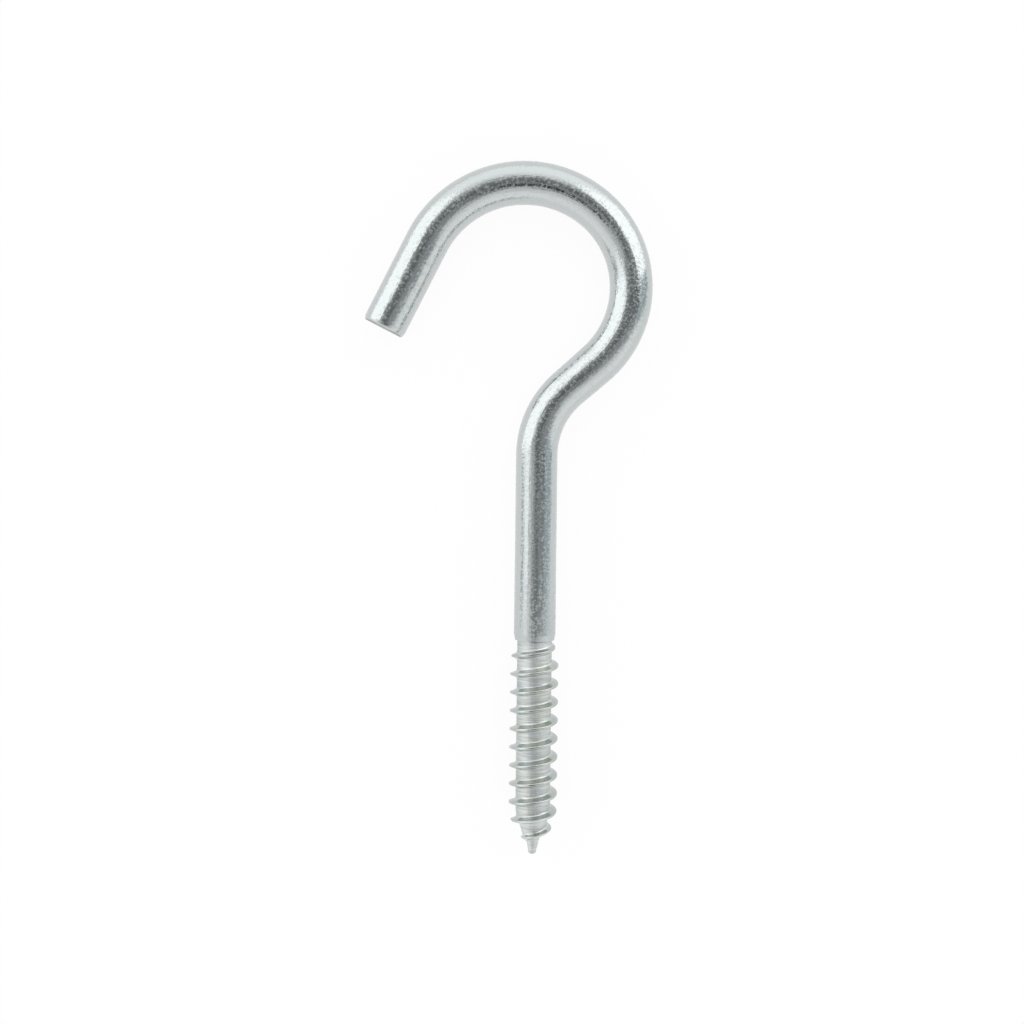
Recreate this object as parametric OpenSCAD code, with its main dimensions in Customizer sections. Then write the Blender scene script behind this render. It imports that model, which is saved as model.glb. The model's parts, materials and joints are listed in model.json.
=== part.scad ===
// Screw hook: one length of round steel wire, bent into an open hook at one end,
// with a coarse wood thread rolled onto the other end.
// It lies flat, with the wire's centre line in the XY plane. The screw's axis is the Y axis,
// with the point towards -Y, and the origin is on that axis at the shoulder where the thread starts.

/* [Wire] */
// Diameter of the plain shank
shank_d = 6; // [5:0.1:8]
// Diameter of the wire in the hook
hook_d = 6.3; // [5.4:0.1:8.4]
// Depth by which each bend lies below the length that it runs into, as bending draws the wire thinner
draw = 0.02; // [0.015:0.005:0.05]

/* [Hook] */
// Straight shank between the thread's shoulder and the first bend
shank_l = 26.9; // [15:0.1:60]
// Radius of the neck bend, to the centre of the wire
neck_r = 12.8; // [8:0.1:20]
// Angle of the neck bend
neck_angle = 48.5; // [40:0.5:58]
// Straight length between the neck bend and the back bend
neck_l = 5.4; // [3:0.1:12]
// Radius of the bend round the back of the hook
back_r = 14.7; // [12:0.1:20]
// Angle of the bend round the back
back_angle = 101; // [90:1:110]
// Radius of the bend over the crown of the hook
crown_r = 15.8; // [13:0.1:20]
// Angle of the bend over the crown
crown_angle = 101; // [90:1:110]
// Straight tail that ends the hook
tail_l = 13.5; // [8:0.1:18]
// Radius of the rounded edge at the cut end
tail_edge = 0.45; // [0.2:0.05:1]

/* [Thread] */
// Length from the shoulder to the tip of the point
thread_l = 30.9; // [20:0.1:50]
// Diameter over the crests
crest_d = 7; // [6.2:0.1:9]
// Diameter of the core between the ridges
core_d = 5; // [4:0.1:5.4]
// Distance from one ridge to the next
pitch = 2.65; // [2:0.05:4]
// Width of a ridge where it leaves the core
root_w = 1; // [0.6:0.05:1.4]
// Width of the flat along the top of a ridge
crest_w = 0.3; // [0.15:0.05:0.5]
// Distance below the shoulder at which the first ridge crosses the screw's +X side
first_ridge = 0.85; // [0.5:0.05:1.5]
// Length of the bevel that ends the shank
bevel_l = 1; // [0.5:0.1:2]
// Depth of that bevel
bevel_depth = 0.2; // [0.1:0.05:0.3]

/* [Point] */
// Length over which the core draws in to the tip
point_l = 7; // [5:0.1:12]
// Length of the plain nib at the tip
nib_l = 1.6; // [1:0.1:3]
// Diameter of the nib where it leaves the point
nib_d = 1.6; // [1:0.1:2.4]
// Distance from the tip at which the ridge dies away
ridge_end = 1.4; // [1:0.1:2.5]
// Distance from the tip at which the ridge has its full height
ridge_full = 4; // [3:0.1:6]

/* [Hidden] */
$fn = 128;

shank_r = shank_d / 2;
tail_r = hook_d / 2;
crown_wire_r = tail_r - draw;
back_wire_r = crown_wire_r - draw;
neck_wire_r = shank_r - draw;
lap = 0.1;            // how far a bend runs inside its thicker neighbour

core_r = core_d / 2;
nib_r = nib_d / 2;
crest_h = (crest_d - core_d) / 2;
ogive_l = point_l - nib_l;
curve_steps = 8;      // flats along a short curve of a profile

ridge_steps = 32;     // sections of the ridge in one turn
run_in_start = -200;  // turn at which the ridge starts, degrees from the +X side
run_in_full = 400;    // turn at which it has its full height
ridge_bury = 0.4;     // how far the ridge reaches inside the core
buried_h = -0.1;      // height of the ridge at its two ends, inside the core
run_out_z = thread_l - ridge_end;
last_turn = (run_out_z - first_ridge) / pitch * 360;
ridge_count = ceil((last_turn - run_in_start) / 360 * ridge_steps);

// ---- the core's radius, at a distance z below the shoulder

function nib_at(z) = nib_r * sqrt(max(0, 1 - pow((z - thread_l + nib_l) / nib_l, 2)));

function ogive_at(z) = nib_r + (core_r - nib_r) * sin(90 * (thread_l - nib_l - z) / ogive_l);

function core_at(z) =
    z > thread_l - nib_l ? nib_at(z) :
    z > thread_l - point_l ? ogive_at(z) :
    core_r;

// ---- the ridge

// Part of the full height that the ridge has at a turn, from 0 at the shoulder to 1
function run_in(turn) = sin(90 * min(1, (turn - run_in_start) / (run_in_full - run_in_start)));

// Part of the full height that the ridge has at a distance from the tip, from 0 to 1
function run_out(d) = sin(90 * min(1, max(0, (d - ridge_end) / (ridge_full - ridge_end))));

function ridge_h(turn, z) =
    buried_h + (crest_h - buried_h) * min(run_in(turn), run_out(thread_l - z));

// Four corners of the ridge's section, at one turn
function ridge_section(turn) =
    let (
        z = first_ridge + pitch * turn / 360,
        root = core_at(z) - ridge_bury,
        crest = core_at(z) + ridge_h(turn, z),
        corners = [
            [root, z - root_w / 2],
            [crest, z - crest_w / 2],
            [crest, z + crest_w / 2],
            [root, z + root_w / 2]
        ]
    )
    [for (c = corners) [c[0] * cos(turn), c[0] * sin(turn), c[1]]];

module ridge() {
    sides = 4;
    turns = [for (i = [0:ridge_count]) run_in_start + (last_turn - run_in_start) * i / ridge_count];
    points = [for (turn = turns) each ridge_section(turn)];
    skin = [
        for (i = [0:ridge_count - 1], j = [0:sides - 1])
            let (
                a = i * sides + j,
                b = i * sides + (j + 1) % sides
            )
            each [[a, b, b + sides], [a, b + sides, a + sides]]
    ];
    last = ridge_count * sides;
    ends = [[2, 1, 0], [3, 2, 0], [last, last + 1, last + 2], [last, last + 2, last + 3]];
    polyhedron(points = points, faces = concat(skin, ends), convexity = 20);
}

// ---- the shank, core and point, turned about the screw's axis

module turned_end() {
    ogive = [for (i = [0:curve_steps]) thread_l - point_l + ogive_l * i / curve_steps];
    nib = [for (i = [1:curve_steps]) thread_l - nib_l + nib_l * sin(90 * i / curve_steps)];
    rotate_extrude()
        polygon(concat(
            [[0, -shank_l], [shank_r, -shank_l], [shank_r, -bevel_l], [shank_r - bevel_depth, 0], [core_r, 0]],
            [for (z = ogive) [core_at(z), z]],
            [for (z = nib) [core_at(z), z]]
        ));
}

// ---- the wire: each piece starts at the origin and runs towards +Y

module straight(l, r_start, r_end) {
    rotate([-90, 0, 0])
        cylinder(r1 = r_start, r2 = r_end, h = l);
}

// A bend to the left for a positive angle and to the right for a negative one
module bend(r, angle, wire_r, lap_start, lap_end) {
    side = sign(angle);
    sweep = abs(angle) + (lap_start + lap_end) * 180 / PI / r;
    from = -lap_start * 180 / PI / r;
    translate([-side * r, 0, 0])
        rotate([0, 0, side > 0 ? from : 180 - from - sweep])
            rotate_extrude(angle = sweep)
                translate([r, 0])
                    circle(r = wire_r);
}

module after_straight(l) {
    translate([0, l, 0])
        children();
}

module after_bend(r, angle) {
    side = sign(angle);
    translate([-side * r, 0, 0])
        rotate([0, 0, angle])
            translate([side * r, 0, 0])
                children();
}

module tail() {
    edge = [for (i = [0:curve_steps]) 90 * i / curve_steps];
    rotate([-90, 0, 0])
        rotate_extrude()
            polygon(concat(
                [[0, 0], [tail_r, 0]],
                [for (a = edge) [tail_r - tail_edge + tail_edge * cos(a), tail_l - tail_edge + tail_edge * sin(a)]],
                [[0, tail_l]]
            ));
}

module hook_wire() {
    bend(neck_r, -neck_angle, neck_wire_r, lap, lap);
    after_bend(neck_r, -neck_angle) {
        straight(neck_l, shank_r, tail_r);
        after_straight(neck_l) {
            bend(back_r, back_angle, back_wire_r, lap, lap);
            after_bend(back_r, back_angle) {
                bend(crown_r, crown_angle, crown_wire_r, 0, lap);
                after_bend(crown_r, crown_angle)
                    tail();
            }
        }
    }
}

module screw_hook() {
    color("silver") {
        rotate([90, 0, 0]) {
            turned_end();
            ridge();
        }
        after_straight(shank_l)
            hook_wire();
    }
}

screw_hook();
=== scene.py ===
# %% [markdown]
# # A screw hook in zinc-plated steel
# A screw hook is one length of steel wire. One end is bent into an open hook, and a coarse wood
# thread is rolled onto the other. The whole is then tumbled in a zinc bath, which leaves a bright,
# faintly pitted skin. This lesson lays the wire as a curve, grows its surface and its thread with
# Geometry Nodes, mixes the zinc finish, and lights it as a small product on a white table.

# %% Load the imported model
import json
import math

import bpy
from mathutils import Matrix, Vector


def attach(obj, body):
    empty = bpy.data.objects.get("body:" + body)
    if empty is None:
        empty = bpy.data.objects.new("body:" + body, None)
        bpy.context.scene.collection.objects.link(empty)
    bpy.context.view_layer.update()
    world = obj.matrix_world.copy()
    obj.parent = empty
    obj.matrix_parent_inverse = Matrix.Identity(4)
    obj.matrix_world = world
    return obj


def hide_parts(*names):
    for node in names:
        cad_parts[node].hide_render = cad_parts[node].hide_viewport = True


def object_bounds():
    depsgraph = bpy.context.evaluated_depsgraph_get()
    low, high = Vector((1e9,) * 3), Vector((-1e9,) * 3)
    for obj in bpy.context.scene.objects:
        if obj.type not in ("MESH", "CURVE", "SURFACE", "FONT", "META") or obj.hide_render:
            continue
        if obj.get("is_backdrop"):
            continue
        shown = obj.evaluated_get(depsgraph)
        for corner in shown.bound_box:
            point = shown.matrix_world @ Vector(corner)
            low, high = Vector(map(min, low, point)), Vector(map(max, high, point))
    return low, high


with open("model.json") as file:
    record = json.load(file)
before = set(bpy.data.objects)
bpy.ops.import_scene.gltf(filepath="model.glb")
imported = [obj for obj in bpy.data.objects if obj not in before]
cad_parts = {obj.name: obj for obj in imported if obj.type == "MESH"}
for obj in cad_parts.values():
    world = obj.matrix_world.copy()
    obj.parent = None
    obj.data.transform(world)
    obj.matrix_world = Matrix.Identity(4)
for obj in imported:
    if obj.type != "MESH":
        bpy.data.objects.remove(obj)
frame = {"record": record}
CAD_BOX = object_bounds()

MM = 0.001
FULL_TURN = 2 * math.pi
QUARTER_TURN = math.pi / 2


def in_mm(lengths):
    """Lengths in metres as rounded millimetres, for printing."""
    return tuple(round(length / MM, 2) for length in lengths)


print("CAD box, mm:", in_mm(CAD_BOX[0]), "to", in_mm(CAD_BOX[1]))

# %% [markdown]
# ## Sizes
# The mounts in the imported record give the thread's length and radius, and the radius of the cut
# end. What no mount says is a driving size here, in metres. A bend is the radius of its centre
# line, and its angle in degrees, to the left where that is positive. The wire of the hook is a
# little thicker than the shank, so it grows from the neck to the tail, and the back and the crown
# have a wire radius of their own.

# %% Sizes from the record
MOUNTS = {mount["name"]: mount["dims"] for mount in frame["record"]["mounts"]}
THREAD_LENGTH = MOUNTS["screw_thread"]["length_mm"] * MM
CREST_RADIUS = MOUNTS["screw_thread"]["r_mm"] * MM
TAIL_RADIUS = MOUNTS["tail_end"]["r_mm"] * MM
print("thread length, mm:", *in_mm([THREAD_LENGTH]))
print("crest and tail radius, mm:", in_mm((CREST_RADIUS, TAIL_RADIUS)))

# %% Sizes of the shank and the bends
SHANK_RADIUS = 3.0 * MM
SHANK_LENGTH = 26.9 * MM
NECK_BEND = (12.8 * MM, -48.5)
NECK_LENGTH = 5.4 * MM
BACK_BEND = (14.7 * MM, 101)
BACK_RADIUS = 3.09 * MM
CROWN_BEND = (15.8 * MM, 101)
CROWN_RADIUS = 3.16 * MM
TAIL_LENGTH = 13.8 * MM
print("the hook turns by, degrees:", NECK_BEND[1] + BACK_BEND[1] + CROWN_BEND[1])

# %% [markdown]
# ## The wire's path
# Drawn wire is bent round pins, so its centre line is made of straight lengths and arcs, each
# leaving where the last one ended. A small layer walks that line from the tip of the screw to the
# cut end of the hook, and notes a point and the wire's radius at each step. Steps are short on
# the screw, where the thread will need many rings of points, and longer on the plain wire.

# %% A walker that lays the wire
BEND_STEP_DEGREES = 1.8


class WirePath:
    """Points along the centre line, each with the wire's radius there."""

    def __init__(self, start, heading):
        self.place = Vector(start)
        self.heading = math.radians(heading)
        self.points = []

    def note(self, radius):
        self.points.append((self.place.copy(), radius))

    def go(self, length):
        self.place += length * Vector((math.cos(self.heading), math.sin(self.heading)))

    def straight(self, length, step, radius_at):
        """Lays a straight length. radius_at(share) is the radius at a share of it."""
        count = max(1, round(length / step))
        for index in range(1, count + 1):
            self.go(length / count)
            self.note(radius_at(index / count))

    def bend(self, radius, angle, radius_at):
        """Lays an arc, to the left for a positive angle."""
        count = max(1, round(abs(angle) / BEND_STEP_DEGREES))
        turn = math.radians(angle) / count
        chord = 2 * radius * math.sin(abs(turn) / 2)
        for index in range(1, count + 1):
            self.heading += turn / 2
            self.go(chord)
            self.heading += turn / 2
            self.note(radius_at(index / count))


def between(start, end):
    """A radius that changes evenly from start to end."""
    return lambda share: start + (end - start) * share


def steady(radius):
    """A radius that stays the same."""
    return lambda share: radius


# %% [markdown]
# ## The screw's core
# Under its ridge the screw is a plain turned shape: a blunt nib with a rounded edge, a point that
# swells in a quarter sine, and a straight core as far as the shoulder. The thread rolls squeeze
# the steel outwards, so the core is thinner than the shank and the crests stand wider.

# %% The core's radius at any distance above the tip
CORE_RADIUS = 2.5 * MM
POINT_LENGTH = 7.0 * MM
NIB_LENGTH = 1.9 * MM
NIB_RADIUS = 0.88 * MM
NIB_END_RADIUS = 0.5 * MM
NIB_EDGE = 0.2 * MM


def core_radius(height):
    if height < NIB_LENGTH:
        cone = NIB_END_RADIUS + (NIB_RADIUS - NIB_END_RADIUS) * height / NIB_LENGTH
        in_edge = max(0, 1 - height / NIB_EDGE)
        return cone - NIB_EDGE * (1 - math.sqrt(1 - in_edge ** 2))
    share = min(1, (height - NIB_LENGTH) / (POINT_LENGTH - NIB_LENGTH))
    return NIB_RADIUS + (CORE_RADIUS - NIB_RADIUS) * math.sin(share * QUARTER_TURN)


print("core radius at the tip, halfway up the point and at its top, mm:",
      in_mm(core_radius(height) for height in (0, POINT_LENGTH / 2, POINT_LENGTH)))

# %% Lay the core
NIB_STEPS = 24
THREAD_STEP = 0.04 * MM
SHOULDER_GAP = 0.01 * MM


def lay_core(path):
    """The nib, with rings that crowd towards its tip, and then even rings up to the shoulder."""
    tip = path.place.copy()
    for index in range(1, NIB_STEPS + 1):
        height = NIB_LENGTH * (1 - math.cos(index / NIB_STEPS * QUARTER_TURN))
        path.place = tip + Vector((0, height))
        path.note(core_radius(height))
    above_nib = THREAD_LENGTH - NIB_LENGTH
    path.straight(
        above_nib - SHOULDER_GAP,
        THREAD_STEP,
        lambda share: core_radius(NIB_LENGTH + share * above_nib),
    )


path = WirePath((0, -THREAD_LENGTH), heading=90)
lay_core(path)
print("path points on the core:", len(path.points))

# %% [markdown]
# ## The shoulder, the shank and the hook
# The shank ends in a shoulder: a small step that no roll has reached, with a fine bevel above it.
# Rings of points laid close to each edge keep the step and the bevel crisp. At the other end the
# wire was sheared off, and tumbling has rounded the rim of the cut.

# %% The shoulder
SHOULDER_RISE = 0.22 * MM
SHOULDER_STEP = 0.075 * MM
BEVEL_LENGTH = 0.85 * MM
BEVEL_DEPTH = 0.16 * MM
BEVEL_STEP = 0.21 * MM
CRISP = 0.02 * MM


def lay_shoulder(path):
    """The last of the core, the step out to the foot of the bevel, and the bevel."""
    foot_radius = SHANK_RADIUS - BEVEL_DEPTH
    path.straight(SHOULDER_RISE, SHOULDER_STEP, steady(CORE_RADIUS))
    path.straight(SHOULDER_GAP, SHOULDER_GAP, steady(foot_radius))
    path.straight(CRISP, CRISP, steady(foot_radius))
    path.straight(BEVEL_LENGTH, BEVEL_STEP, between(foot_radius, SHANK_RADIUS))
    path.straight(CRISP, CRISP, steady(SHANK_RADIUS))


lay_shoulder(path)
print("bevel ends at, mm:", in_mm(path.place))

# %% The rounded rim of the cut end
RIM_LENGTH = 0.9 * MM
RIM_DEPTH = 0.42 * MM
RIM_STEPS = 12


def lay_rim(path):
    """A quarter of an ellipse, longer along the wire than across it."""
    foot = path.place.copy()
    for index in range(1, RIM_STEPS + 1):
        angle = index / RIM_STEPS * QUARTER_TURN
        path.place = foot.copy()
        path.go(RIM_LENGTH * math.sin(angle))
        path.note(TAIL_RADIUS - RIM_DEPTH * (1 - math.cos(angle)))


# %% Lay the rest of the wire
WIRE_STEP = 0.9 * MM

path.straight(SHANK_LENGTH - path.place.y, WIRE_STEP, steady(SHANK_RADIUS))
path.bend(*NECK_BEND, steady(SHANK_RADIUS))
path.straight(NECK_LENGTH, WIRE_STEP, between(SHANK_RADIUS, BACK_RADIUS))
path.bend(*BACK_BEND, steady(BACK_RADIUS))
path.bend(*CROWN_BEND, between(BACK_RADIUS, CROWN_RADIUS))
path.straight(TAIL_LENGTH - RIM_LENGTH, WIRE_STEP, between(CROWN_RADIUS, TAIL_RADIUS))
lay_rim(path)
print("path points:", len(path.points), "cut end at, mm:", in_mm(path.place))

# %% Turn the path into a curve object
def wire_curve(name, points):
    curve = bpy.data.curves.new(name, "CURVE")
    curve.dimensions = "3D"
    curve.twist_mode = "Z_UP"
    spline = curve.splines.new("POLY")
    spline.points.add(len(points) - 1)
    for spline_point, (place, radius) in zip(spline.points, points):
        spline_point.co = (*place, 0, 1)
        spline_point.radius = radius
    wire = bpy.data.objects.new(name, curve)
    bpy.context.scene.collection.objects.link(wire)
    return wire


hook_wire = wire_curve("hook_wire", path.points)
WIRE_LENGTH = hook_wire.data.splines[0].calc_length()
print("wire length, mm:", round(WIRE_LENGTH / MM, 1))

# %% [markdown]
# ## Helpers for node trees
# Geometry, material and world trees use the same Math and Vector Math nodes, so one helper for
# each chains them. A value given to a helper is either plain numbers or another node's output.

# %% Math and linking helpers
def feed(tree, socket, value):
    """Links an output to a socket, or sets the socket to a plain value."""
    if isinstance(value, bpy.types.NodeSocket):
        tree.links.new(value, socket)
    else:
        socket.default_value = value


def calc(tree, operation, *values):
    """One Math node, and its result."""
    node = tree.nodes.new("ShaderNodeMath")
    node.operation = operation
    for socket, value in zip(node.inputs, values):
        feed(tree, socket, value)
    return node.outputs[0]


def calc_vector(tree, operation, *vectors):
    """One Vector Math node, and its result, which is a number for a dot product or a length."""
    node = tree.nodes.new("ShaderNodeVectorMath")
    node.operation = operation
    for socket, vector in zip(node.inputs, vectors):
        feed(tree, socket, vector)
    return node.outputs["Value" if operation in ("DOT_PRODUCT", "LENGTH") else "Vector"]


def split(tree, vector):
    """The X, Y and Z outputs of a vector."""
    node = tree.nodes.new("ShaderNodeSeparateXYZ")
    tree.links.new(vector, node.inputs[0])
    return node.outputs


def join(tree, x=0.0, y=0.0, z=0.0):
    """A vector made of three numbers."""
    node = tree.nodes.new("ShaderNodeCombineXYZ")
    for socket, value in zip(node.inputs, (x, y, z)):
        feed(tree, socket, value)
    return node.outputs[0]


def share_between(tree, value, start, end, shape="LINEAR"):
    """0 where value is at start, 1 where it is at end, held there outside them."""
    node = tree.nodes.new("ShaderNodeMapRange")
    node.interpolation_type = shape
    feed(tree, node.inputs["Value"], value)
    feed(tree, node.inputs["From Min"], start)
    feed(tree, node.inputs["From Max"], end)
    return node.outputs["Result"]


# %% [markdown]
# ## Growing the thread
# The thread is a rule, so Geometry Nodes make it. Curve to Mesh skins the path with a circle. Each
# point on the screw then knows its height and its bearing round the axis, and so how far it lies
# from the nearest ridge. A line with the flank's slope, cut off at the crest and eased into the
# core with smooth minimum and maximum, says how far the point moves outwards. Points are also
# drawn towards the ridge, so that its flanks have the most rings.
#
# The ridge swells out of the core below the shoulder and dies away on the point, as rolled threads
# do. A right-hand thread has its depth below the shoulder grow with the bearing. Its run-in is
# given in turns of the thread, from where the first ridge crosses the screw's right side.

# %% The tree's named inputs
THREAD_SIZES = {
    "Thread Length": THREAD_LENGTH,
    "Ridge Height": CREST_RADIUS - CORE_RADIUS,
    "Pitch": 2.65 * MM,
    "First Ridge": 0.85 * MM,
    "Crest Width": 0.32 * MM,
    "Root Width": 1.0 * MM,
    "Crest Rounding": 0.35 * MM,
    "Root Fillet": 0.95 * MM,
    "Run In Start": -200 / 360,
    "Run In Full": 400 / 360,
    "Ridge End": 1.4 * MM,
    "Ridge Full": 4.0 * MM,
    "Row Pull": 0.55,
}


def add_input(tree, name, kind):
    return tree.interface.new_socket(name=name, in_out="INPUT", socket_type=kind)


def start_tree(name, numbers):
    """A tree that takes a path, a number for each name, sides and a finish, and gives a mesh."""
    tree = bpy.data.node_groups.new(name, "GeometryNodeTree")
    add_input(tree, "Path", "NodeSocketGeometry")
    tree.interface.new_socket(name="Mesh", in_out="OUTPUT", socket_type="NodeSocketGeometry")
    for number in numbers:
        add_input(tree, number, "NodeSocketFloat")
    add_input(tree, "Sides", "NodeSocketInt")
    add_input(tree, "Finish", "NodeSocketMaterial")
    return tree


print("thread inputs:", len(THREAD_SIZES))

# %% Where a point lies on the thread
HALFWAY = 0.5


def place_on_thread(tree, size):
    """The outward direction, the depth below the shoulder, the distance from the nearest ridge in
    turns of the thread, and the turn at which that ridge passes."""
    x, y, z = split(tree, tree.nodes.new("GeometryNodeInputPosition").outputs[0])
    depth = calc(tree, "MULTIPLY", y, -1)
    bearing = calc(tree, "DIVIDE", calc(tree, "ARCTAN2", z, x), FULL_TURN)
    turns = calc(tree, "DIVIDE", calc(tree, "SUBTRACT", depth, size["First Ridge"]), size["Pitch"])
    offset = calc(tree, "WRAP", calc(tree, "SUBTRACT", turns, bearing), HALFWAY, -HALFWAY)
    outward = calc_vector(tree, "NORMALIZE", join(tree, x=x, z=z))
    return outward, depth, offset, calc(tree, "SUBTRACT", turns, offset)


# %% How far the nearest ridge stands out there
def quarter_sine(tree, share):
    """A share that rises fast and settles gently at 1."""
    return calc(tree, "SINE", calc(tree, "MULTIPLY", share, QUARTER_TURN))


def ridge_share(tree, size, ridge_turn):
    """The part of its full height that the ridge has at a turn: it runs in and it runs out."""
    begun = share_between(tree, ridge_turn, size["Run In Start"], size["Run In Full"])
    depth = calc(tree, "MULTIPLY_ADD", ridge_turn, size["Pitch"], size["First Ridge"])
    to_tip = calc(tree, "SUBTRACT", size["Thread Length"], depth)
    remaining = share_between(tree, to_tip, size["Ridge End"], size["Ridge Full"])
    return calc(tree, "MINIMUM", quarter_sine(tree, begun), quarter_sine(tree, remaining))


def ridge_profile(tree, size, offset):
    """The section of a full ridge: a flank's straight slope, rounded at the crest and the root."""
    distance = calc(tree, "MULTIPLY", calc(tree, "ABSOLUTE", offset), size["Pitch"])
    half_root = calc(tree, "DIVIDE", size["Root Width"], 2)
    half_crest = calc(tree, "DIVIDE", size["Crest Width"], 2)
    flank_width = calc(tree, "SUBTRACT", half_root, half_crest)
    slope = calc(tree, "DIVIDE", size["Ridge Height"], flank_width)
    flank = calc(tree, "MULTIPLY", calc(tree, "SUBTRACT", half_root, distance), slope)
    crested = calc(tree, "SMOOTH_MIN", flank, size["Ridge Height"], size["Crest Rounding"])
    return calc(tree, "SMOOTH_MAX", crested, 0.0, size["Root Fillet"])


# %% Draw the rings of points towards the ridge
PULL_START = 0.4 * MM
PULL_END = 1.6 * MM


def pulled_offset(tree, size, depth, offset):
    """The offset after points are drawn towards the ridge, away from the shoulder and the nib."""
    wave = calc(tree, "SINE", calc(tree, "MULTIPLY", offset, FULL_TURN))
    reach = calc(tree, "DIVIDE", calc(tree, "MULTIPLY", wave, size["Row Pull"]), FULL_TURN)
    below_shoulder = share_between(tree, depth, 0.0, PULL_START)
    to_tip = calc(tree, "SUBTRACT", size["Thread Length"], depth)
    above_nib = share_between(tree, to_tip, 0.0, PULL_END)
    allowed = calc(tree, "MULTIPLY", below_shoulder, above_nib)
    return calc(tree, "SUBTRACT", offset, calc(tree, "MULTIPLY", reach, allowed))


# %% Skin the path
def note_attribute(tree, geometry, name, kind, value):
    """Stores a value on each point under a name, for the finish to read."""
    store = tree.nodes.new("GeometryNodeStoreNamedAttribute")
    store.data_type = kind
    store.domain = "POINT"
    store.inputs["Name"].default_value = name
    tree.links.new(geometry, store.inputs["Geometry"])
    feed(tree, store.inputs["Value"], value)
    return store.outputs[0]


def skin_the_path(tree, source):
    """Curve to Mesh, with a unit circle scaled by the path's own radius."""
    circle = tree.nodes.new("GeometryNodeCurvePrimitiveCircle")
    circle.inputs["Radius"].default_value = 1
    tree.links.new(source.outputs["Sides"], circle.inputs["Resolution"])
    around = tree.nodes.new("GeometryNodeInputPosition").outputs[0]
    ring = note_attribute(tree, circle.outputs["Curve"], "around", "FLOAT_VECTOR", around)
    length = tree.nodes.new("GeometryNodeSplineParameter").outputs["Length"]
    line = note_attribute(tree, source.outputs["Path"], "along", "FLOAT", length)
    skin = tree.nodes.new("GeometryNodeCurveToMesh")
    skin.inputs["Fill Caps"].default_value = True
    tree.links.new(line, skin.inputs["Curve"])
    tree.links.new(ring, skin.inputs["Profile Curve"])
    tree.links.new(tree.nodes.new("GeometryNodeInputRadius").outputs[0], skin.inputs["Scale"])
    return skin.outputs["Mesh"]


# %% Raise the ridge
def raise_the_ridge(tree, size, mesh):
    """Moves the screw's points out by the ridge's height, and notes that height for the finish."""
    outward, depth, offset, ridge_turn = place_on_thread(tree, size)
    pulled = pulled_offset(tree, size, depth, offset)
    profile = ridge_profile(tree, size, pulled)
    height = calc(tree, "MULTIPLY", profile, ridge_share(tree, size, ridge_turn))
    shift = calc(tree, "MULTIPLY", calc(tree, "SUBTRACT", offset, pulled), size["Pitch"])
    out = calc_vector(tree, "MULTIPLY", outward, height)
    on_screw = calc(tree, "GREATER_THAN", depth, SHOULDER_GAP / 2)
    raised = calc(tree, "MULTIPLY", calc(tree, "DIVIDE", height, size["Ridge Height"]), on_screw)
    place = tree.nodes.new("GeometryNodeSetPosition")
    noted = note_attribute(tree, mesh, "ridge", "FLOAT", raised)
    tree.links.new(noted, place.inputs["Geometry"])
    tree.links.new(on_screw, place.inputs["Selection"])
    tree.links.new(calc_vector(tree, "ADD", out, join(tree, y=shift)), place.inputs["Offset"])
    return place.outputs[0]


# %% The whole tree
SHARP_ANGLE = math.radians(38)


def sharpen(tree, mesh):
    """Smooth shading everywhere but across the shoulder's step and the cut end's rim."""
    angle = tree.nodes.new("GeometryNodeInputMeshEdgeAngle").outputs["Unsigned Angle"]
    sharp = tree.nodes.new("GeometryNodeSetShadeSmooth")
    sharp.domain = "EDGE"
    sharp.inputs["Shade Smooth"].default_value = False
    tree.links.new(mesh, sharp.inputs["Geometry"])
    tree.links.new(calc(tree, "GREATER_THAN", angle, SHARP_ANGLE), sharp.inputs["Selection"])
    return sharp.outputs[0]


def hook_tree():
    tree = start_tree("grow_hook", THREAD_SIZES)
    source = tree.nodes.new("NodeGroupInput")
    size = {name: source.outputs[name] for name in THREAD_SIZES}
    mesh = raise_the_ridge(tree, size, skin_the_path(tree, source))
    mesh = sharpen(tree, mesh)
    realize = tree.nodes.new("GeometryNodeRealizeInstances")
    tree.links.new(mesh, realize.inputs[0])
    finish = tree.nodes.new("GeometryNodeSetMaterial")
    tree.links.new(realize.outputs[0], finish.inputs["Geometry"])
    tree.links.new(source.outputs["Finish"], finish.inputs["Material"])
    result = tree.nodes.new("NodeGroupOutput")
    tree.links.new(finish.outputs[0], result.inputs[0])
    return tree


grow_hook = hook_tree()
print("nodes in the tree:", len(grow_hook.nodes))

# %% [markdown]
# ## The zinc finish
# The plating is one skin of bright, slightly cool metal, so one Principled shader in full metal
# carries it all. Masks from 0 to 1 say where a place lies: on the wire or on the rolled screw, on
# a flank or a crest of the ridge, or on the cut end. A mask's two values say where it is 0 and
# where it is 1. Patterns add what the plating does there. They read Object coordinates, or the
# attributes that the hook's tree has stored, where a pattern has to follow the wire round its
# bends.

# %% Helpers for colours and patterns
def mix_colour(tree, share, under, over):
    """A Mix node between two colours, each given as three numbers or as an output."""
    node = tree.nodes.new("ShaderNodeMix")
    node.data_type = "RGBA"
    feed(tree, node.inputs["Factor"], share)
    for name, colour in (("A_Color", under), ("B_Color", over)):
        socket = next(item for item in node.inputs if item.identifier == name)
        feed(tree, socket, colour if isinstance(colour, bpy.types.NodeSocket) else (*colour, 1))
    return next(item for item in node.outputs if item.identifier == "Result_Color")


def darker(colour, share):
    return [part * (1 - share) for part in colour]


def noise(tree, coordinates, size, detail=2):
    node = tree.nodes.new("ShaderNodeTexNoise")
    node.inputs["Scale"].default_value = 1 / size
    node.inputs["Detail"].default_value = detail
    tree.links.new(coordinates, node.inputs["Vector"])
    return node.outputs["Fac"]


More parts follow.
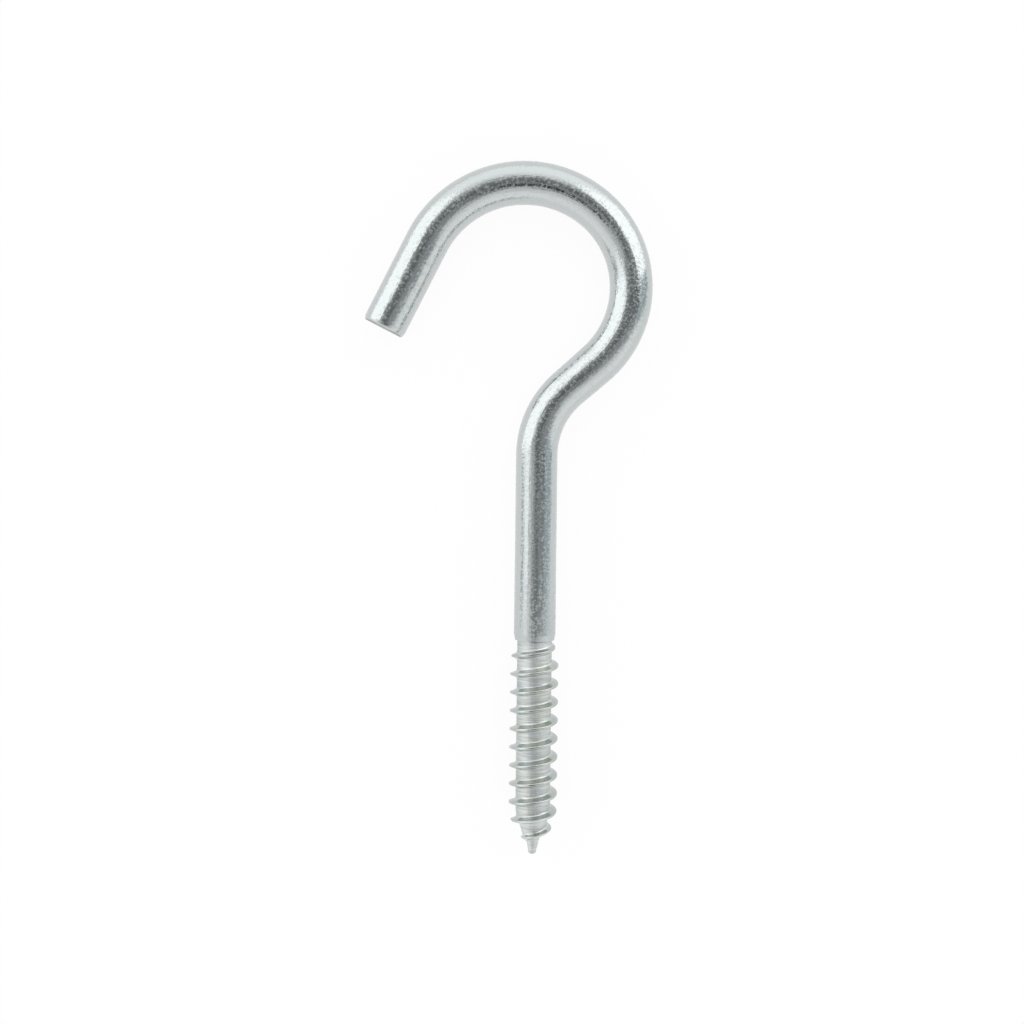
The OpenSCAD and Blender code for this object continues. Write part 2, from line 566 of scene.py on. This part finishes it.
def streaks(tree, coordinates, sizes):
    """Noise whose spots have a size of their own along each axis."""
    return noise(tree, calc_vector(tree, "DIVIDE", coordinates, sizes), 1)


def attribute(tree, name, output):
    node = tree.nodes.new("ShaderNodeAttribute")
    node.attribute_name = name
    return node.outputs[output]


# %% [markdown]
# ### The plain wire
# Zinc crystals leave small frosted spots. They scatter a reflection, so that its edges break up,
# and the clear zinc between them is a little darker. The plating is also mottled in a cool and a
# warm tint, in patches a few crystals wide.

# %% The colour of the plain wire
ZINC_COLOUR = (0.57, 0.602, 0.604)
CLEAR_SHADE = 0.04
MOTTLE_SIZE = 1.3 * MM
MOTTLE_EDGE = (0.35, 0.65)
MOTTLE_TINTS = ((0.97, 0.985, 1.0), (1.0, 0.99, 0.955))


def wire_colour(tree, place, frost):
    mottle = share_between(tree, noise(tree, place, MOTTLE_SIZE), *MOTTLE_EDGE)
    mottled = calc_vector(tree, "MULTIPLY", ZINC_COLOUR, mix_colour(tree, mottle, *MOTTLE_TINTS))
    return mix_colour(tree, frost, darker(ZINC_COLOUR, CLEAR_SHADE), mottled)


# %% [markdown]
# ### The rolled thread
# The rolls leave faint lines round the core. The ridge's flanks are painted darker and more olive
# than the core, as painted shade for the dark valleys that they reflect, and its crests are painted
# a little lighter again, as a painted highlight. The zinc's clear coat lies on the thread in clouds
# of blue-grey and of olive. The studio's lights are far away, and light the crests at both sides of
# the screw more than lamps close by would, so a duller tint there, which is painted shade, makes up
# for it.

# %% The colour of the thread
CORE_COLOUR = (0.75, 0.767, 0.757)
# Painted shade on the ridge's flanks, and a painted highlight on its crests.
FLANK_SHADED_COLOUR = (0.6, 0.615, 0.59)
FLANK_EDGE = (0.06, 0.3)
CREST_HIGHLIGHT_COLOUR = (0.66, 0.675, 0.66)
CREST_EDGE = (0.88, 1.0)
LINE_SHADE = 0.24
LINE_EDGE = (0.375, 0.625)
CLOUD_SIZE = 3 * MM
CLOUD_DETAIL = 3
CLOUD_EDGE = (0.35, 0.65)
CLOUD_TINTS = ((0.95, 0.985, 1.005), (1.0, 1.0, 0.965))
# Painted shade at both sides of the screw: where it starts and ends across the axis, and its tint.
PAINTED_SHADE_SIDES = (1.6 * MM, 2.8 * MM)
SIDE_PAINTED_SHADE = (0.77, 0.81, 0.82)
NO_TINT = (1, 1, 1)


def thread_colour(tree, place, lines, ridge):
    line = share_between(tree, lines, *LINE_EDGE)
    colour = mix_colour(tree, line, darker(CORE_COLOUR, LINE_SHADE), CORE_COLOUR)
    # Painted shade: the flanks are darker than the core. Painted highlight: the crests are a little
    # lighter than the flanks.
    colour = mix_colour(tree, share_between(tree, ridge, *FLANK_EDGE), colour, FLANK_SHADED_COLOUR)
    colour = mix_colour(tree, share_between(tree, ridge, *CREST_EDGE), colour, CREST_HIGHLIGHT_COLOUR)
    cloud = share_between(tree, noise(tree, place, CLOUD_SIZE, CLOUD_DETAIL), *CLOUD_EDGE)
    colour = calc_vector(tree, "MULTIPLY", colour, mix_colour(tree, cloud, *CLOUD_TINTS))
    # Painted shade: the thread's colour is made darker towards both sides of the screw.
    across = calc(tree, "ABSOLUTE", split(tree, place)["X"])
    side = share_between(tree, across, *PAINTED_SHADE_SIDES)
    return calc_vector(tree, "MULTIPLY", colour, mix_colour(tree, side, NO_TINT, SIDE_PAINTED_SHADE))


# %% [markdown]
# ### The cut end
# The end was sheared off and plated with the rest. Its rounded rim is painted a dark brown, as
# painted shade for the dark line that the rim shows.

# %% Where the cut end and its rim lie
# Painted shade: the dark brown of the cut end's rim, and where the rim's mask starts and ends.
RIM_SHADE_COLOUR = (0.33, 0.31, 0.27)
CUT_EDGE = (0.2 * MM, 0.04 * MM)
RIM_SHADE_EDGE = (0.84, 0.96)


def cut_end(tree):
    """The share of a place that is on the cut end, and the share on its rim, where shade is
    painted.
    """
    to_end = calc(tree, "SUBTRACT", WIRE_LENGTH, attribute(tree, "along", "Fac"))
    cut = share_between(tree, to_end, *CUT_EDGE)
    from_middle = calc_vector(tree, "LENGTH", attribute(tree, "around", "Vector"))
    rim_shade = share_between(tree, from_middle, *RIM_SHADE_EDGE)
    return cut, calc(tree, "MULTIPLY", cut, rim_shade)


# %% [markdown]
# ### Roughness
# The wire is the smoothest part. It grows rougher towards the shoulder, next to the rolls, and
# the rolled core is the roughest. Drawing has left faint streaks along the wire, round its bends
# too, so they need coordinates that follow it: two lengths across the wire, and one along it.
# Frost, streaks and the cut have no roughness of their own, but add to what is there.

# %% The roughness all over
WIRE_ROUGHNESS = 0.1
SHOULDER_ROUGHNESS = 0.3
ROUGHNESS_RISE = (13 * MM, 0)
CORE_ROUGHNESS = 0.5
RIDGE_ROUGHNESS = 0.22
FROST_ADDS = 0.26
STREAK_ADDS = 0.15
CUT_ADDS = 0.3
MEAN_NOISE = 0.5


def along_the_wire(tree):
    """A place on the wire's skin: two lengths across the wire, and the length along it."""
    across = split(tree, attribute(tree, "around", "Vector"))
    x, y = (calc(tree, "MULTIPLY", across[axis], SHANK_RADIUS) for axis in ("X", "Y"))
    return join(tree, x, y, attribute(tree, "along", "Fac"))


def skin_roughness(tree, height, frost, drawn, rolled, raised, cut):
    """The wire's own roughness, and what each mask adds to it."""
    near_shoulder = share_between(tree, height, *ROUGHNESS_RISE, "SMOOTHSTEP")
    frosted = calc(tree, "MULTIPLY", frost, calc(tree, "SUBTRACT", 1.0, rolled))
    streak = calc(tree, "SUBTRACT", drawn, MEAN_NOISE)
    roughness = WIRE_ROUGHNESS
    for share, change in (
        (near_shoulder, SHOULDER_ROUGHNESS - WIRE_ROUGHNESS),
        (rolled, CORE_ROUGHNESS - SHOULDER_ROUGHNESS),
        (raised, RIDGE_ROUGHNESS - CORE_ROUGHNESS),
        (frosted, FROST_ADDS),
        (streak, STREAK_ADDS),
        (cut, CUT_ADDS),
    ):
        roughness = calc(tree, "MULTIPLY_ADD", share, change, roughness)
    return roughness


# %% The plating as one material
FROST_SIZE = 0.38 * MM
FROST_DETAIL = 1
FROST_EDGE = (0.46, 0.64)
DRAWN_LINE = (0.3 * MM, 0.3 * MM, 4 * MM)
ROLLED_LINE = (3 * MM, 0.18 * MM, 3 * MM)
ROLLED_EDGE = (0.05 * MM, -0.05 * MM)
RAISED_EDGE = (0.0, 0.15)
LINE_DEPTH = 3.0
GRAIN_DEPTH = 0.02 * MM


def zinc_plate():
    material = bpy.data.materials.new("zinc_plate")
    material.use_nodes = True
    tree = material.node_tree
    place = tree.nodes.new("ShaderNodeTexCoord").outputs["Object"]
    height = split(tree, place)["Y"]
    ridge = attribute(tree, "ridge", "Fac")
    pits = noise(tree, place, FROST_SIZE, FROST_DETAIL)
    drawn = streaks(tree, along_the_wire(tree), DRAWN_LINE)
    lines = streaks(tree, place, ROLLED_LINE)

    frost = share_between(tree, pits, *FROST_EDGE)
    rolled = share_between(tree, height, *ROLLED_EDGE)
    raised = share_between(tree, ridge, *RAISED_EDGE)
    cut, rim_shade = cut_end(tree)

    wire = wire_colour(tree, place, frost)
    screw = thread_colour(tree, place, lines, ridge)
    # The cut end's rim is painted dark brown here, as painted shade.
    colour = mix_colour(tree, rim_shade, mix_colour(tree, rolled, wire, screw), RIM_SHADE_COLOUR)
    roughness = skin_roughness(tree, height, frost, drawn, rolled, raised, cut)
    on_core = calc(tree, "MULTIPLY", rolled, calc(tree, "SUBTRACT", 1.0, raised))
    rolling = calc(tree, "MULTIPLY", calc(tree, "MULTIPLY", lines, LINE_DEPTH), on_core)
    bump = tree.nodes.new("ShaderNodeBump")
    bump.inputs["Distance"].default_value = GRAIN_DEPTH
    grain = calc(tree, "ADD", calc(tree, "ADD", pits, drawn), rolling)
    tree.links.new(grain, bump.inputs["Height"])

    shader = tree.nodes["Principled BSDF"]
    shader.inputs["Metallic"].default_value = 1
    tree.links.new(colour, shader.inputs["Base Color"])
    tree.links.new(roughness, shader.inputs["Roughness"])
    tree.links.new(bump.outputs[0], shader.inputs["Normal"])
    return material


zinc = zinc_plate()
print("nodes in the finish:", len(zinc.node_tree.nodes))

# %% [markdown]
# ## Making the hook
# The modifier's inputs are set by each socket's identifier, and the evaluated result becomes a
# plain mesh, so that nothing is left to evaluate later.

# %% Grow the hook and keep its mesh
WIRE_SIDES = 96


def set_inputs(modifier, values):
    for item in modifier.node_group.interface.items_tree:
        if item.in_out == "INPUT" and item.name in values:
            modifier[item.identifier] = values[item.name]


def plain_mesh(source, name):
    """The evaluated source as a mesh object of its own; the source is removed."""
    graph = bpy.context.evaluated_depsgraph_get()
    mesh = bpy.data.meshes.new_from_object(source.evaluated_get(graph), depsgraph=graph)
    mesh.name = name
    piece = bpy.data.objects.new(name, mesh)
    bpy.context.scene.collection.objects.link(piece)
    bpy.data.objects.remove(source)
    return piece


grow = hook_wire.modifiers.new("grow_hook", "NODES")
grow.node_group = grow_hook
set_inputs(grow, {**THREAD_SIZES, "Sides": WIRE_SIDES, "Finish": zinc})
hook_steel = plain_mesh(hook_wire, "hook_steel")
print("hook faces:", len(hook_steel.data.polygons))
print("hook materials:", [material.name for material in hook_steel.data.materials])

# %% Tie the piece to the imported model
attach(hook_steel, "root")
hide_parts("screw_hook")
print(hook_steel.name, "rides on root, and stands for screw_hook")

# %% [markdown]
# ## The table
# The hook lies on a white table. Its material glows white for the camera and for reflections, and
# keeps a small share of plain paint, which is where the hook's soft shadow shows.

# %% Shaders for some rays only
def either(tree, share, first, second):
    """The first shader where the share is 0, and the second where it is 1."""
    node = tree.nodes.new("ShaderNodeMixShader")
    for socket, output in zip(node.inputs, (share, first, second)):
        tree.links.new(output, socket)
    return node.outputs[0]


def any_ray(tree, kinds):
    """1 for a ray of one of these kinds, and 0 for any other."""
    path = tree.nodes.new("ShaderNodeLightPath")
    share = 0.0
    for kind in kinds:
        share = calc(tree, "MAXIMUM", share, path.outputs[kind])
    return share


# %% The white table
TABLE_SIZE = 3.0
TABLE_HEIGHT = CAD_BOX[0].z
TABLE_WHITE = (0.95, 0.95, 0.95)
SHADOW_SHARE = 0.08


def table_finish():
    material = bpy.data.materials.new("table_white")
    material.use_nodes = True
    tree = material.node_tree
    tree.nodes.clear()
    paint = tree.nodes.new("ShaderNodeBsdfDiffuse")
    paint.inputs["Color"].default_value = (*TABLE_WHITE, 1)
    glow = tree.nodes.new("ShaderNodeEmission")
    seen = any_ray(tree, ("Is Camera Ray", "Is Glossy Ray", "Is Transmission Ray"))
    glowing = calc(tree, "MULTIPLY", seen, 1 - SHADOW_SHARE)
    result = tree.nodes.new("ShaderNodeOutputMaterial")
    surface = either(tree, glowing, paint.outputs[0], glow.outputs[0])
    tree.links.new(surface, result.inputs["Surface"])
    return material


def lay_table():
    half = TABLE_SIZE / 2
    corners = [(-half, -half), (half, -half), (half, half), (-half, half)]
    mesh = bpy.data.meshes.new("table")
    mesh.from_pydata([(x, y, TABLE_HEIGHT) for x, y in corners], [], [(0, 1, 2, 3)])
    mesh.materials.append(table_finish())
    top = bpy.data.objects.new("table", mesh)
    bpy.context.scene.collection.objects.link(top)
    return top


table = lay_table()
table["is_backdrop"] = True
print("table height, mm:", *in_mm([TABLE_HEIGHT]))

# %% [markdown]
# ## The studio
# Metal is seen by what it reflects. The hook is in a pale room with two large softboxes beyond its
# head, one to the left and one to the right, and a dark opening overhead, where the camera looks
# down. Smaller panels stand for the doorway, the walls and the window that show in the wire's
# sides. The whole studio is a world, so it needs no lamps.
#
# A place in the studio is a bearing, in degrees clockwise from the head of the hook, and a tilt, in
# degrees from straight overhead. A flat panel's edges look straight from the hook, so its corners
# are enough. Each corner also says how soft the edge is that starts there, in degrees. The first
# two panels lie behind the opening, and the others in front of it.

# %% The room, the opening overhead and the panels
ROOM_DIM = (0.62, 0.62, 0.625)
ROOM = (1.10, 1.105, 1.10)
ROOM_EDGE = (20, 72)
OPENING = (0.268, 0.28, 0.283)
OPENING_LEAN = (1, -4)
OPENING_EDGE = (36, 19)
OVERHEAD = (0.17, 0.175, 0.178)
OVERHEAD_EDGE = (6, 11)
PANELS_UNDER_OPENING = 2
PANELS = [
    ("ceiling", (1.26, 1.28, 1.28),
     [(-28, 38, 40), (-60, 120, 40), (48, 120, 40), (30, 38, 40)]),
    ("doorway", (0.46, 0.53, 0.56),
     [(70, 30, 8), (74, 98, 8), (91, 98, 8), (118, 38, 8)]),
    ("doorway_top", (0.36, 0.375, 0.385),
     [(76, 14, 8), (79, 44, 8), (112, 51, 14), (135, 16, 8)]),
    ("opening_arm", (0.17, 0.18, 0.185),
     [(60, 16, 4), (79, 47, 4), (93, 46, 4), (95, 8, 4)]),
    ("pale_ring", (0.38, 0.39, 0.39),
     [(262, 8, 4), (150, 8, 4), (155, 12.5, 4), (222, 15, 4), (252, 15, 4)]),
    ("dark_bar", (0.05, 0.055, 0.055),
     [(244, 20, 4), (240, 28, 6), (190, 24.5, 6), (150, 23, 6), (148, 16, 4)]),
    ("side_wall", (0.70, 0.71, 0.71),
     [(259, 9, 6), (251, 16, 6), (250, 40, 6), (272, 40, 6), (272, 12, 6)]),
    ("low_window", (1.36, 1.38, 1.39),
     [(-84, 44, 8), (-84, 66, 6), (-103, 66, 6), (-103, 44, 8)]),
    ("skirting", (0.60, 0.61, 0.62),
     [(-90, 74, 5), (-90, 96, 5), (-103, 96, 5), (-103, 74, 5)]),
    ("left_softbox", (1.64, 1.65, 1.65),
     [(-29, 35, 4), (-33, 62, 4), (-50, 95, 8), (-88, 95, 8), (-90, 39, 12), (-48, 28.5, 12)]),
    ("right_softbox", (1.72, 1.72, 1.72),
     [(24, 30.5, 5), (26, 58, 5), (42, 90, 6), (75, 92, 5), (80, 43, 10), (56, 29.5, 10)]),
]
print("panels:", [name for name, glow, corners in PANELS])

# %% The planes through a panel's edges
def direction_to(bearing, tilt):
    turn, lean = math.radians(bearing), math.radians(tilt)
    level = Vector((math.sin(turn), math.cos(turn), 0))
    return level * math.sin(lean) + Vector((0, 0, math.cos(lean)))


def edge_planes(corners):
    """The inward normals of the planes through the hook and each edge of a panel."""
    points = [direction_to(bearing, tilt) for bearing, tilt, softness in corners]
    middle = sum(points, Vector()).normalized()
    normals = []
    for point, following in zip(points, points[1:] + points[:1]):
        normal = point.cross(following).normalized()
        normals.append(normal if normal.dot(middle) > 0 else -normal)
    return normals


def covered_by(tree, direction, corners):
    """1 inside a panel and 0 outside it. Each edge is as soft as its first corner says."""
    cover = 1.0
    for (bearing, tilt, softness), normal in zip(corners, edge_planes(corners)):
        reach = math.sin(math.radians(softness / 2))
        inwards = calc_vector(tree, "DOT_PRODUCT", direction, normal)
        inside = share_between(tree, inwards, -reach, reach, "SMOOTHSTEP")
        cover = calc(tree, "MULTIPLY", inside, cover)
    return cover


# %% [markdown]
# Every edge of a panel costs time at every ray. So the studio is built as two halves, each with
# only the panels that reach it, and a ray works out just the half that it runs into. Only
# reflections need the studio: the camera and soft light see plain white, which costs next to
# nothing.

# %% The room with its opening
def angle_from(tree, direction, towards):
    """The angle between a direction and a fixed one, in degrees."""
    facing = calc_vector(tree, "DOT_PRODUCT", direction, towards)
    return calc(tree, "DEGREES", calc(tree, "ARCCOSINE", calc(tree, "MINIMUM", facing, 1.0)))


def room_colours(tree, direction):
    """The bare room, the opening's colour, and the share of it that covers the room."""
    aside, ahead = (math.sin(math.radians(lean)) for lean in OPENING_LEAN)
    opening_middle = (aside, ahead, math.sqrt(1 - aside ** 2 - ahead ** 2))
    tilt = angle_from(tree, direction, (0, 0, 1))
    from_opening = angle_from(tree, direction, opening_middle)
    room = mix_colour(tree, share_between(tree, tilt, *ROOM_EDGE, "SMOOTHSTEP"), ROOM_DIM, ROOM)
    outwards = share_between(tree, tilt, *OVERHEAD_EDGE, "SMOOTHSTEP")
    opening = mix_colour(tree, outwards, OVERHEAD, OPENING)
    return room, opening, share_between(tree, from_opening, *OPENING_EDGE, "SMOOTHSTEP")


# %% The studio as a world
LEFT, RIGHT = -1, 1


def reaches(corners, side):
    """Whether a panel has a corner on that side of the hook."""
    return any(direction_to(bearing, tilt).x * side > 0 for bearing, tilt, softness in corners)


def studio_half(tree, direction, side):
    """A background of all that is on one side of the hook."""
    colour, opening, open_share = room_colours(tree, direction)
    for number, (name, glow, corners) in enumerate(PANELS):
        if number == PANELS_UNDER_OPENING:
            colour = mix_colour(tree, open_share, colour, opening)
        if reaches(corners, side):
            colour = mix_colour(tree, covered_by(tree, direction, corners), colour, glow)
    half = tree.nodes.new("ShaderNodeBackground")
    tree.links.new(colour, half.inputs["Color"])
    return half.outputs[0]


def studio_world():
    world = bpy.data.worlds.new("studio")
    world.use_nodes = True
    tree = world.node_tree
    direction = tree.nodes.new("ShaderNodeTexCoord").outputs["Generated"]
    left, right = (studio_half(tree, direction, side) for side in (LEFT, RIGHT))
    to_right = calc(tree, "GREATER_THAN", split(tree, direction)["X"], 0.0)
    studio = either(tree, to_right, left, right)
    plain = tree.nodes["Background"]
    plain.inputs["Color"].default_value = (1, 1, 1, 1)
    unlit = any_ray(tree, ("Is Camera Ray", "Is Diffuse Ray"))
    shown = either(tree, unlit, studio, plain.outputs[0])
    tree.links.new(shown, tree.nodes["World Output"].inputs["Surface"])
    return world


studio = studio_world()
bpy.context.scene.world = studio
print("nodes in the studio:", len(studio.node_tree.nodes))

# %% [markdown]
# ## Camera
# The camera stands close above the hook's bend and looks down, so the thread's ridges are seen a
# little from their upper side. The lens is shifted to keep the hook in the middle of the frame.

# %% Camera
LENS = 46.28
SENSOR = 36
CAMERA_DISTANCE = 190 * MM
CAMERA_LEAN = math.radians(1)
CAMERA_RISE = 8.6 * MM
ROLL = math.radians(0.648)
AIM_OFFSET = Vector((0.748 * MM, -0.504 * MM, 0))
NEAREST = 1 * MM


def aim_camera(camera, aim):
    """Places the camera above the aim, and shifts its lens until the aim is in mid frame."""
    lean = Matrix.Rotation(-CAMERA_LEAN, 4, "X")
    stand = Vector((0, CAMERA_RISE, 0)) + lean @ Vector((0, 0, CAMERA_DISTANCE))
    turn = lean @ Matrix.Rotation(ROLL, 4, "Z")
    camera.matrix_world = Matrix.Translation(aim + stand) @ turn
    seen = turn.inverted() @ (-stand)
    camera.data.shift_x = seen.x / -seen.z * LENS / SENSOR
    camera.data.shift_y = seen.y / -seen.z * LENS / SENSOR


camera = bpy.data.objects.new("camera", bpy.data.cameras.new("camera"))
camera.data.lens = LENS
camera.data.sensor_width = SENSOR
camera.data.clip_start = NEAREST
hook_middle = (CAD_BOX[0] + CAD_BOX[1]) / 2
aim_camera(camera, hook_middle + AIM_OFFSET)
bpy.context.scene.collection.objects.link(camera)
bpy.context.scene.camera = camera
bpy.context.scene.view_settings.view_transform = "Standard"
print("camera at, mm:", in_mm(camera.location), "shift:", round(camera.data.shift_y, 3))

# %% Measure, and finish
visual_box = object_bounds()
print("visual box, mm:", in_mm(visual_box[0]), "to", in_mm(visual_box[1]))
